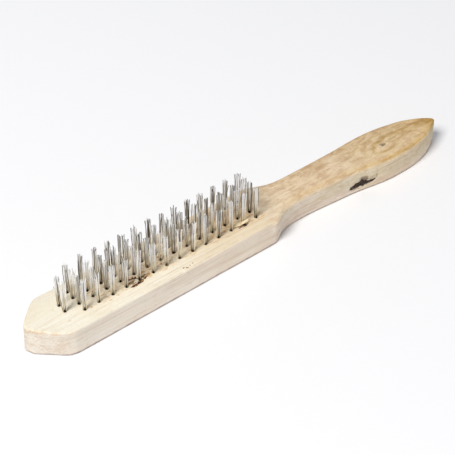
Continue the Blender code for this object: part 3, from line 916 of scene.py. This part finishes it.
# painted light: lit and shaded steel for the wires; the stain is real; the last colour is the painted reflection of the
# wood, with shade, near the wires' feet
STEEL_LIT = (0.985, 0.985, 0.985)
STEEL_SHADED = (0.40, 0.365, 0.305)
STEEL_STAIN = (0.78, 0.74, 0.66)
STEEL_REFLECTED_WOOD = (0.905, 0.845, 0.685)


# ---- mesh writing -------------------------------------------------------------------------
class Shells:
    """Many small closed shells gathered in one mesh, with values per point."""

    def __init__(self, *names):
        self.points, self.faces, self.count = [], [], 0
        self.values = {n: [] for n in names}

    def add(self, points, faces, **values):
        points = np.asarray(points, float)
        self.points.append(points)
        self.faces += [[i + self.count for i in f] for f in faces]
        self.count += len(points)
        for n, v in values.items():
            self.values[n].append(np.broadcast_to(np.asarray(v, float), len(points)))

    def object(self, name, material, smooth_angle=50):
        mesh = bpy.data.meshes.new(name)
        mesh.from_pydata((np.concatenate(self.points) * MM).tolist(), [], self.faces)
        mesh.update()
        for n, v in self.values.items():
            a = mesh.attributes.new(n, "FLOAT", "POINT")
            a.data.foreach_set("value", np.concatenate(v).astype(np.float32))
        mesh.materials.append(material)
        mesh.shade_smooth()
        mesh.set_sharp_from_angle(angle=math.radians(smooth_angle))
        obj = bpy.data.objects.new(name, mesh)
        bpy.context.scene.collection.objects.link(obj)
        return obj


def tube(path, radius, sides, phase=0.0):
    """A closed round tube along the path: (points, faces)."""
    path = np.asarray(path, float)
    tangent = np.gradient(path, axis=0)
    tangent /= np.linalg.norm(tangent, axis=1)[:, None]
    ref = np.array([1.0, 0.31, 0.0])
    ref = ref - tangent[0] * (ref @ tangent[0])
    ref /= np.linalg.norm(ref)
    points = []
    for p, t in zip(path, tangent):
        ref = ref - t * (ref @ t)
        ref /= np.linalg.norm(ref)
        other = np.cross(t, ref)
        a = phase + 2 * math.pi * np.arange(sides) / sides
        points.append(p + radius * (np.cos(a)[:, None] * ref + np.sin(a)[:, None] * other))
    n = len(path)
    faces = []
    for k in range(n - 1):
        for i in range(sides):
            j = (i + 1) % sides
            faces.append((k * sides + i, k * sides + j, (k + 1) * sides + j, (k + 1) * sides + i))
    faces.append(tuple(range(sides - 1, -1, -1)))
    faces.append(tuple((n - 1) * sides + i for i in range(sides)))
    return np.concatenate(points), faces


# ---- tufts --------------------------------------------------------------------------------
# what stands out about single tufts: how far their two legs part at the top (mm), where they
# sit in the hole and how they lean (mm)
TRAITS = {
    "b01": dict(split=0.65, turn=-0.55), "c01": dict(split=0.15), "a02": dict(split=0.0),
    "c02": dict(split=0.35), "a05": dict(wide=1.15), "b05": dict(split=0.45), "a07": dict(wide=1.12),
    "d05": dict(split=0.4), "d15": dict(split=0.1), "a14": dict(split=0.25, shift=(0.1, 0.50)), "a06": dict(split=0.1, shift=(-0.1, 0.50)),
    "a15": dict(split=0.05), "b14": dict(split=0.3), "c15": dict(split=0.35, wide=1.1),
}
WIRE_R = 0.19
# where the wires leave the hole: (along, across) of the left leg, then of the right one
LEG = (
    ((0.98, -0.40), (0.98, -0.12)), ((0.96, 0.06), (0.98, 0.28)), ((0.82, 0.50), (0.84, 0.62)),
    ((0.70, -0.74), (0.80, -0.50)), ((0.60, -0.30), (0.74, -0.02)), ((0.54, 0.16), (0.62, 0.36)), ((0.42, 0.62), (0.44, 0.76)),
)


def build_tuft(key, material):
    node, row, col, hx, hy = TUFTS[key]
    rng = random.Random(f"tuft {key}")
    trait = TRAITS.get(key, {})
    shells = Shells("tint", "low", "deep")
    turn = trait.get("turn", rng.gauss(-0.62, 0.22))
    along = np.array([math.cos(turn), math.sin(turn), 0.0])
    across = np.array([-math.sin(turn), math.cos(turn), 0.0])
    slots = list(LEG)
    for _ in range(rng.choice((0, 1, 1, 2))):
        slots.pop(rng.randrange(len(slots)))
    split = trait.get("split", max(-0.1, rng.gauss(0.0, 0.16)))
    wide = trait.get("wide", rng.uniform(0.88, 1.08))
    lean = np.array([rng.gauss(0, 0.32), rng.gauss(0, 0.32), 0.0])
    shift = np.array([*trait.get("shift", (rng.gauss(0, 0.05), 0.08 + rng.gauss(0, 0.05))), 0.0])
    squeeze = 0.72 if "shift" in trait else 1.0
    foot = THICK - HOLE_DEPTH + 0.45
    top = TUFT_TOP - rng.uniform(0.15, 1.1)
    # painted light: near rows are lit brighter and far rows painted darker, with a larger share of legs painted shaded
    tuft_tint = (-0.05, 0.02, 0.15, 0.22)["abcd".index(row)] * (0.8 + 0.3 * smooth(-120, -50, hx)) + rng.gauss(0, 0.06)
    shaded_share = (0.12, 0.16, 0.24, 0.30)["abcd".index(row)] + 0.10 * float(smooth(-125, -85, hx))
    centre = np.array([hx, hy, 0.0])
    up = np.array([0.0, 0.0, 1.0])
    for k, pair in enumerate(slots):
        arc_r = 0.40 + 0.12 * rng.random()
        lane = (pair[0][1] + pair[1][1]) / 2 * 0.85
        legs = []
        for sgn, (a, c) in zip((-1, 1), pair):
            tip_z = top - (abs(rng.gauss(0, 1.05)) if rng.random() > 0.07 else rng.uniform(2.0, 7.0))
            a1 = a + rng.uniform(-0.05, 0.05)
            c1 = c * squeeze + rng.uniform(-0.05, 0.05)
            base = along * sgn * a1 * 0.87 + across * c1 * 0.87 + shift
            out = 0.16 + 1.26 * (a1 - 0.52) / 0.47 * wide + split + rng.gauss(0, 0.18)
            spread = along * sgn * out + across * (c1 * 1.15 * wide + rng.gauss(0, 0.16)) + shift
            spread = spread + lean
            if rng.random() < 0.10:
                spread = spread + along * rng.uniform(-1.0, 1.0) + across * rng.uniform(-0.7, 0.7)
            bow = along * rng.gauss(0, 0.14) + across * rng.gauss(0, 0.14)
            wave = along * rng.gauss(0, 0.10) + across * rng.gauss(0, 0.08)
            hook = along * rng.gauss(0, 0.18) + across * rng.gauss(0, 0.16)
            points = []
            for t in (1.0, 0.93, 0.82, 0.68, 0.52, 0.36, 0.2, 0.07):
                w = t**0.85
                kink = 4 * t * (1 - t)
                end = max(0.0, (t - 0.8) / 0.2) ** 2
                points.append(
                    centre + up * (THICK + (tip_z - THICK) * t) + base * (1 - w) + spread * w + bow * kink + wave * math.sin(7.5 * t) * t + hook * end
                )
            inside = along * sgn * min(a1, 0.9) * 0.9 + across * c1 * 0.9
            points.append(centre + up * (THICK + 0.1) + base)
            points.append(centre + up * (THICK - 0.9) + base * 0.6 + inside * 0.4)
            points.append(centre + up * (THICK - 4.5) + inside * 0.88)
            points.append(centre + up * (foot + arc_r + 0.6) + along * sgn * arc_r + across * lane)
            legs.append(points)
        arc = [
            centre + up * (foot + arc_r - arc_r * math.sin(q)) + along * (-arc_r * math.cos(q)) + across * lane
            for q in np.linspace(0.15, math.pi - 0.15, 5)
        ]
        path = np.array(legs[0] + arc + legs[1][::-1])
        # painted shade: the inner bends are darkened a little just above the hole's mouth
        inner_shade = 0.38 if k >= 3 else 0.08
        radius = WIRE_R * rng.uniform(0.92, 1.06)
        pts, faces = tube(path, radius, 6, rng.uniform(0, 1))
        # painted reflection of the wood and shade on the lower wires, reaching higher on the far rows
        low = np.repeat(smooth(THICK + (12.0, 13.5, 17.0, 20.0)["abcd".index(row)], THICK + 0.5, path[:, 2]), 6)
        # painted shade: dark inside the hole and, on the inner bends, a little above it
        deep = np.repeat(np.maximum(smooth(THICK + 1.5, THICK - 0.6, path[:, 2]), inner_shade * smooth(THICK + 4.2, THICK + 0.4, path[:, 2])), 6)
        # painted light and shade: each leg of a bend is painted lit or shaded on its own
        half = len(path) // 2
        shade = [tuft_tint + (rng.uniform(0.55, 1.0) if rng.random() < shaded_share else rng.gauss(-0.08, 0.10)) for _ in (0, 1)]
        tint = np.repeat(np.where(np.arange(len(path)) < half, shade[0], shade[1]), 6)
        shells.add(pts, faces, tint=np.clip(tint, 0, 1), low=low, deep=deep)
    # the anchor staple: a flat strip pushed over the bends, its lower edge sharpened
    half, thick, high = 1.16, 0.16, 1.9
    z0 = foot + 0.62
    profile = [(-half, 0.0), (-half * 0.9, -0.25), (half * 0.9, -0.25), (half, 0.0), (half, high - 0.2), (half - 0.2, high), (-half + 0.2, high), (-half, high - 0.2)]
    pts, n = [], len(profile)
    for sgn, w in ((-1, 0.75), (-1, 1.0), (1, 1.0), (1, 0.75)):
        for a, z in profile:
            k = 0.9 if w < 1 else 1.0
            pts.append(np.array([hx, hy, z0 + (z - high / 2) * k + high / 2]) + across * a * k + along * sgn * thick * (1 if w < 1 else 0.8))
    faces = [tuple(range(n))[::-1], tuple(3 * n + i for i in range(n))]
    for ring in range(3):
        for i in range(n):
            j = (i + 1) % n
            faces.append((ring * n + i, ring * n + j, (ring + 1) * n + j, (ring + 1) * n + i))
    # painted shade: the staple down in the hole is painted dark throughout
    shells.add(pts, faces, tint=0.7, low=1.0, deep=1.0)
    obj = shells.object(f"tuft_{key}_wires", material)
    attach(obj, "root")
    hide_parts(node)
    return obj


# ---- torn fibres and the lifted splinter --------------------------------------------------
def sliver(start, direction, length, width, thick, lift, curl, rng):
    """A tapering, slightly curled splinter: (points, faces)."""
    direction = np.array([*direction, 0.0]) / math.hypot(*direction)
    side = np.array([-direction[1], direction[0], 0.0])
    steps = 6
    pts = []
    for k in range(steps + 1):
        t = k / steps
        centre = np.array(start) + direction * length * t + np.array([0, 0, 1.0]) * (lift * t**1.6)
        centre = centre + side * curl * t * t
        w = width * (1 - 0.82 * t**1.5) * (0.85 + 0.3 * rng.random())
        h = thick * (1 - 0.75 * t)
        for a, b in ((-0.5, -0.5), (0.5, -0.5), (0.38, 0.5), (-0.42, 0.5)):
            pts.append(centre + side * w * a + np.array([0, 0, 1.0]) * h * b)
    faces = [(3, 2, 1, 0), tuple(steps * 4 + i for i in range(4))]
    for k in range(steps):
        for i in range(4):
            j = (i + 1) % 4
            faces.append((k * 4 + i, k * 4 + j, (k + 1) * 4 + j, (k + 1) * 4 + i))
    return pts, faces


def strip(path, widths, thick, rng):
    """A torn strip of wood along the path: (points, faces)."""
    path = np.array(path, float)
    pts = []
    for k, (p, w) in enumerate(zip(path, widths)):
        d = path[min(k + 1, len(path) - 1)] - path[max(k - 1, 0)]
        side = np.array([-d[1], d[0], 0.0]) / math.hypot(d[0], d[1])
        h = thick * (0.7 + 0.5 * rng.random())
        for a, b in ((-0.5, -0.5), (0.5, -0.5), (0.42, 0.4), (0.1, 0.55), (-0.38, 0.45)):
            pts.append(p + side * w * a * (0.9 + 0.2 * rng.random()) + np.array([0, 0, 1.0]) * h * b)
    m = len(path)
    faces = [(4, 3, 2, 1, 0), tuple((m - 1) * 5 + i for i in range(5))]
    for k in range(m - 1):
        for i in range(5):
            j = (i + 1) % 5
            faces.append((k * 5 + i, k * 5 + j, (k + 1) * 5 + j, (k + 1) * 5 + i))
    return pts, faces


def build_fibres(material):
    rng = random.Random("torn fibres")
    shells = Shells("tint")
    made = 0
    while made < 420:
        x = rng.uniform(X0 + 19, X0 + 156)
        y = rng.uniform(-10.0, 13.0)
        if np.hypot(HOLES[:, 0] - x, HOLES[:, 1] - y).min() < 1.55:
            continue
        if x < X0 + 42 and rng.random() < 0.85:
            made += 1
            continue
        heading = (rng.choice((-1, 1)), rng.gauss(0, 0.16))
        length = rng.uniform(0.9, 3.4)
        ex, ey = x + heading[0] * length, y + heading[1] * length
        if np.hypot(HOLES[:, 0] - ex, HOLES[:, 1] - ey).min() < 1.3:
            continue
        pts, faces = sliver(
            (x, y, THICK - 0.04), heading, length, rng.uniform(0.16, 0.55), rng.uniform(0.12, 0.26),
            rng.uniform(0.02, 0.75), rng.uniform(-0.3, 0.3), rng,
        )
        shells.add(pts, faces, tint=min(1, max(0, rng.gauss(0.45, 0.3))))
        made += 1
    # short frayed fibres round the rims of the holes
    for hx, hy in HOLES:
        for _ in range(rng.randint(2, 4)):
            a = rng.uniform(0, 2 * math.pi)
            x, y = hx + (HOLE_R + 0.5) * math.cos(a), hy + (HOLE_R + 0.5) * math.sin(a)
            sgn = -1 if math.cos(a) > 0 else 1
            pts, faces = sliver(
                (x, y, THICK - 0.03), (sgn, rng.gauss(0, 0.4)), rng.uniform(0.5, 1.0), rng.uniform(0.12, 0.28),
                0.10, rng.uniform(0.05, 0.35), rng.uniform(-0.2, 0.2), rng,
            )
            shells.add(pts, faces, tint=min(1, max(0, rng.gauss(0.5, 0.25))))
    # frayed wood in the dark grooves
    for (a, b, half, _d) in GROOVES:
        for _ in range(5):
            t = rng.uniform(0.05, 0.8)
            x, y = a[0] + (b[0] - a[0]) * t, a[1] + (b[1] - a[1]) * t + rng.uniform(-half, half)
            pts, faces = sliver(
                (x, y, THICK - 0.3), (1, rng.gauss(0, 0.2)), rng.uniform(1.5, 3.8), rng.uniform(0.2, 0.5),
                0.2, rng.uniform(0.3, 0.9), rng.uniform(-0.3, 0.3), rng,
            )
            shells.add(pts, faces, tint=rng.uniform(0.6, 1.0))
    # the long pale splinter torn up in front of a near-row tuft
    pts, faces = strip(
        [(-16.4, -5.2, THICK + 0.10), (-13.8, -5.7, THICK + 0.55), (-11.4, -6.4, THICK + 1.00),
         (-9.2, -7.1, THICK + 1.35), (-7.0, -7.6, THICK + 1.70), (-5.0, -7.8, THICK + 2.05), (-2.9, -7.7, THICK + 2.45)],
        (0.7, 1.5, 2.0, 2.2, 2.1, 1.6, 0.4), 0.5, rng,
    )
    shells.add(pts, faces, tint=-0.1)
    pts, faces = strip(
        [(-11.8, -6.4, THICK), (-9.6, -7.0, THICK + 0.75), (-7.2, -7.9, THICK + 1.25), (-4.9, -8.4, THICK + 1.55), (-3.2, -8.5, THICK + 1.75)],
        (0.4, 0.8, 0.8, 0.6, 0.2), 0.3, rng,
    )
    shells.add(pts, faces, tint=0.05)
    obj = shells.object("torn_wood_fibres", material, 40)
    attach(obj, "root")
    return obj


# ---- make everything ----------------------------------------------------------------------
board = build_board()
board.data.materials.append(wood_material())
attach(board, "root")
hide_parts("wooden_body")
build_fibres(fibre_material())
steel = steel_material()
for key in sorted(TUFTS):
    build_tuft(key, steel)

# ---- floor, light, camera -----------------------------------------------------------------
floor_mesh = bpy.data.meshes.new("studio_floor")
bm = bmesh.new()
bmesh.ops.create_grid(bm, x_segments=1, y_segments=1, size=6.0)
bm.to_mesh(floor_mesh)
bm.free()
floor = bpy.data.objects.new("studio_floor", floor_mesh)
floor.location = (0, 0, -0.0002)
bpy.context.scene.collection.objects.link(floor)
floor_material = bpy.data.materials.new("studio_white")
floor_material.use_nodes = True
shader = floor_material.node_tree.nodes["Principled BSDF"]
shader.inputs["Base Color"].default_value = (0.893, 0.895, 0.915, 1)
shader.inputs["Roughness"].default_value = 0.6
shader.inputs["Specular IOR Level"].default_value = 0.15
floor_mesh.materials.append(floor_material)

world = bpy.data.worlds.new("studio")
bpy.context.scene.world = world
world.use_nodes = True
background = world.node_tree.nodes["Background"]
background.inputs["Color"].default_value = (0.95, 0.97, 1.0, 1)
background.inputs["Strength"].default_value = 0.39


def area(name, direction, distance, size, power, colour):
    data = bpy.data.lights.new(name, "AREA")
    data.shape = "DISK"
    data.size = size
    data.energy = power
    data.color = colour
    obj = bpy.data.objects.new(name, data)
    d = Vector(direction).normalized()
    obj.location = Vector((0, 0, 0.01)) + d * distance
    obj.rotation_mode = "QUATERNION"
    obj.rotation_quaternion = (-d).to_track_quat("-Z", "Y")
    bpy.context.scene.collection.objects.link(obj)
    return obj


area("key_light", (-0.58, -0.15, 0.79), 3.2, 1.35, 95.0, (1.0, 0.987, 0.960))

cam_data = bpy.data.cameras.new("camera")
cam_data.lens = 116.05
cam_data.sensor_width = 36
cam_data.clip_start, cam_data.clip_end = 0.01, 50
cam = bpy.data.objects.new("camera", cam_data)
cam.location = (-0.4094, -0.4874, 0.5673)
target = Vector((-0.0152, -0.0039, 0.0168))
cam.rotation_mode = "QUATERNION"
cam.rotation_quaternion = (target - cam.location).to_track_quat("-Z", "Y")
bpy.context.scene.collection.objects.link(cam)
bpy.context.scene.camera = cam

view = bpy.context.scene.view_settings
view.view_transform = "Standard"
view.look = "None"
view.exposure = 0.0
view.gamma = 1.0

bpy.context.view_layer.update()
